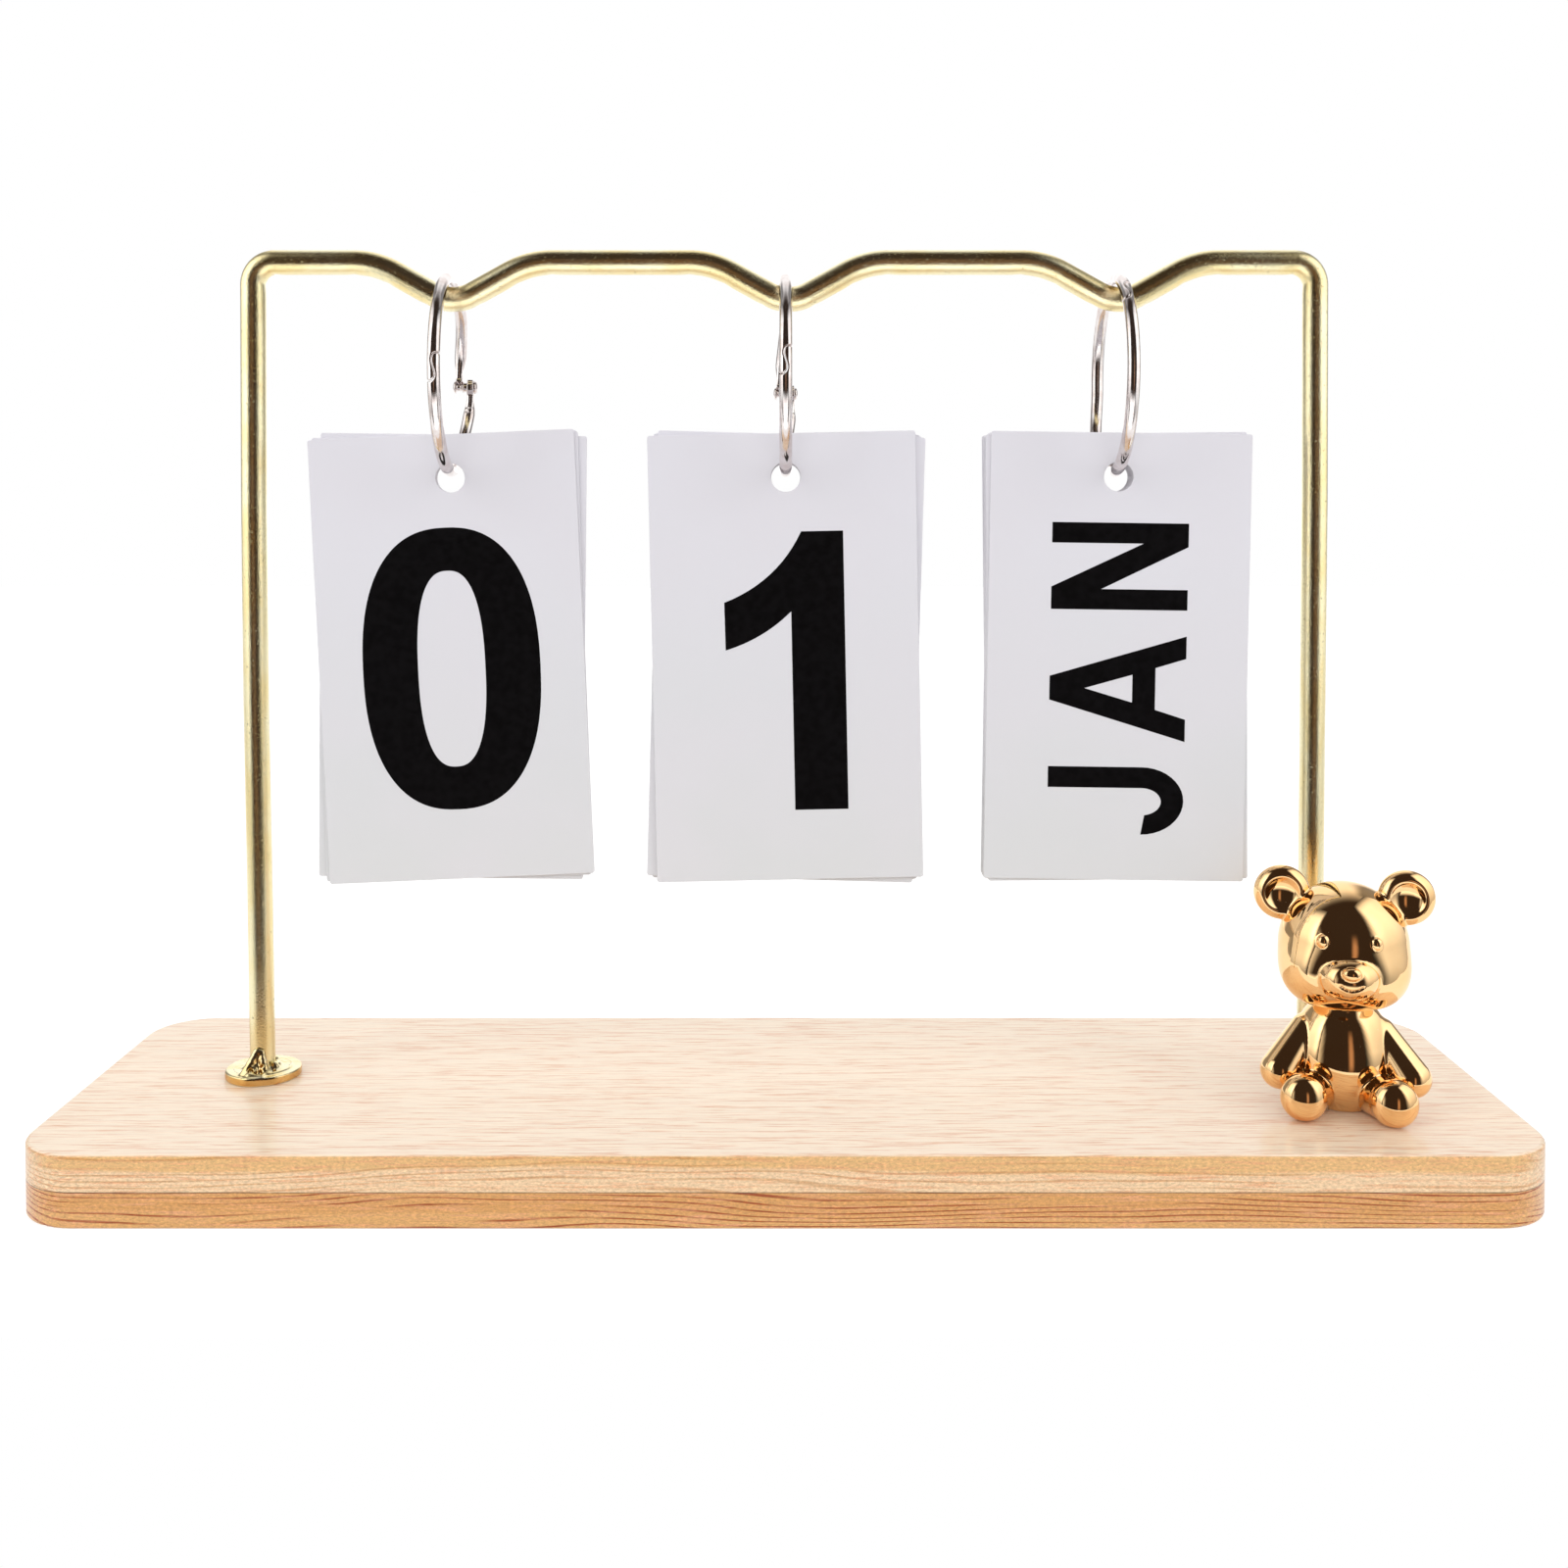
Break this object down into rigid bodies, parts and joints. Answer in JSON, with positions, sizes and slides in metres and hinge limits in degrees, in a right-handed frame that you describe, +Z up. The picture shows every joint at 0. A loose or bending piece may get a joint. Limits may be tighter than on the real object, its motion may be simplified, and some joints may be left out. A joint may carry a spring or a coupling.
{
  "type": "flip desk calendar",
  "caption": "Free-standing flip calendar: loose number and month cards on hinged rings over a bent-wire rail, on a bamboo base with a small seated bear.",
  "frame": {"origin": "centre of the base's underside, on the surface it stands on", "axes": "+Z up, +X to the reader's right along the base, -Y towards the reader"},
  "size_m": [0.2796, 0.08, 0.1805],
  "materials": {
    "bamboo_light": "satin",
    "bamboo_dark": "satin",
    "gold_wire": "polished",
    "gold_plate": "polished",
    "nickel": "polished",
    "zinc": "satin",
    "card_stock": "matte"
  },
  "bodies": {
    "root": {"base_top_board": "bamboo_light", "base_bottom_board": "bamboo_dark", "frame_wire": "gold_wire", "left_flange": "gold_wire", "right_flange": "gold_wire", "left_washer": "zinc", "right_washer": "zinc", "left_nut": "zinc", "right_nut": "zinc", "bear_body": "gold_plate", "bear_head": "gold_plate"},
    "tens_ring_upper": {"tens_ring_upper": "nickel", "tens_ring_rivet": "nickel"},
    "tens_ring_lower": {"tens_ring_lower": "nickel"},
    "tens_pack": {"tens_card_1": "card_stock", "tens_card_2": "card_stock"},
    "tens_front_card": {"tens_card_0": "card_stock"},
    "tens_rear_card": {"tens_card_3": "card_stock"},
    "units_ring_upper": {"units_ring_upper": "nickel", "units_ring_rivet": "nickel"},
    "units_ring_lower": {"units_ring_lower": "nickel"},
    "units_pack": {"units_card_2": "card_stock", "units_card_3": "card_stock", "units_card_4": "card_stock", "units_card_5": "card_stock", "units_card_6": "card_stock", "units_card_7": "card_stock", "units_card_8": "card_stock", "units_card_9": "card_stock"},
    "units_front_card": {"units_card_1": "card_stock"},
    "units_rear_card": {"units_card_0": "card_stock"},
    "month_ring_upper": {"month_ring_upper": "nickel", "month_ring_rivet": "nickel"},
    "month_ring_lower": {"month_ring_lower": "nickel"},
    "month_pack": {"month_card_feb": "card_stock", "month_card_mar": "card_stock", "month_card_apr": "card_stock", "month_card_may": "card_stock", "month_card_jun": "card_stock", "month_card_jul": "card_stock", "month_card_aug": "card_stock", "month_card_sep": "card_stock", "month_card_oct": "card_stock", "month_card_nov": "card_stock"},
    "month_front_card": {"month_card_jan": "card_stock"},
    "month_rear_card": {"month_card_dec": "card_stock"}
  },
  "joints": [
    {"name": "tens_ring_swing", "type": "hinge", "parent": "root", "child": "tens_ring_upper", "pos_m": [-0.0673, 0.002, 0.17065], "axis": [1, 0, 0], "range_deg": [-25, 25]},
    {"name": "tens_ring_open", "type": "hinge", "parent": "tens_ring_upper", "child": "tens_ring_lower", "pos_m": [-0.0673, 0.02122, 0.15444], "axis": [1, 0, 0], "range_deg": [0, 60]},
    {"name": "tens_pack_slide", "type": "hinge", "parent": "tens_ring_lower", "child": "tens_pack", "pos_m": [-0.0673, 0.002, 0.15545], "axis": [-1, 0, 0], "range_deg": [-10, 60]},
    {"name": "tens_front_card_flip", "type": "hinge", "parent": "tens_pack", "child": "tens_front_card", "pos_m": [-0.0673, 0.002, 0.15545], "axis": [1, 0, 0], "range_deg": [-155, 0]},
    {"name": "tens_rear_card_flip", "type": "hinge", "parent": "tens_pack", "child": "tens_rear_card", "pos_m": [-0.0673, 0.002, 0.15545], "axis": [-1, 0, 0], "range_deg": [-50, 0]},
    {"name": "units_ring_swing", "type": "hinge", "parent": "root", "child": "units_ring_upper", "pos_m": [0.0001, 0.002, 0.17065], "axis": [1, 0, 0], "range_deg": [-25, 25]},
    {"name": "units_ring_open", "type": "hinge", "parent": "units_ring_upper", "child": "units_ring_lower", "pos_m": [0.0001, 0.02111, 0.1531], "axis": [1, 0, 0], "range_deg": [0, 60]},
    {"name": "units_pack_slide", "type": "hinge", "parent": "units_ring_lower", "child": "units_pack", "pos_m": [0.0001, 0.002, 0.15545], "axis": [-1, 0, 0], "range_deg": [-10, 60]},
    {"name": "units_front_card_flip", "type": "hinge", "parent": "units_pack", "child": "units_front_card", "pos_m": [0.0001, 0.002, 0.15545], "axis": [1, 0, 0], "range_deg": [-150, 0]},
    {"name": "units_rear_card_flip", "type": "hinge", "parent": "units_pack", "child": "units_rear_card", "pos_m": [0.0001, 0.002, 0.15545], "axis": [-1, 0, 0], "range_deg": [-45, 0]},
    {"name": "month_ring_swing", "type": "hinge", "parent": "root", "child": "month_ring_upper", "pos_m": [0.0666, 0.002, 0.17065], "axis": [1, 0, 0], "range_deg": [-25, 25]},
    {"name": "month_ring_open", "type": "hinge", "parent": "month_ring_upper", "child": "month_ring_lower", "pos_m": [0.0666, 0.01358, 0.14008], "axis": [1, 0, 0], "range_deg": [0, 60]},
    {"name": "month_pack_slide", "type": "hinge", "parent": "month_ring_lower", "child": "month_pack", "pos_m": [0.0666, 0.002, 0.15545], "axis": [-1, 0, 0], "range_deg": [-3, 60]},
    {"name": "month_front_card_flip", "type": "hinge", "parent": "month_pack", "child": "month_front_card", "pos_m": [0.0666, 0.002, 0.15545], "axis": [1, 0, 0], "range_deg": [-150, 0]},
    {"name": "month_rear_card_flip", "type": "hinge", "parent": "month_pack", "child": "month_rear_card", "pos_m": [0.0666, 0.002, 0.15545], "axis": [-1, 0, 0], "range_deg": [-7, 0]}
  ]
}
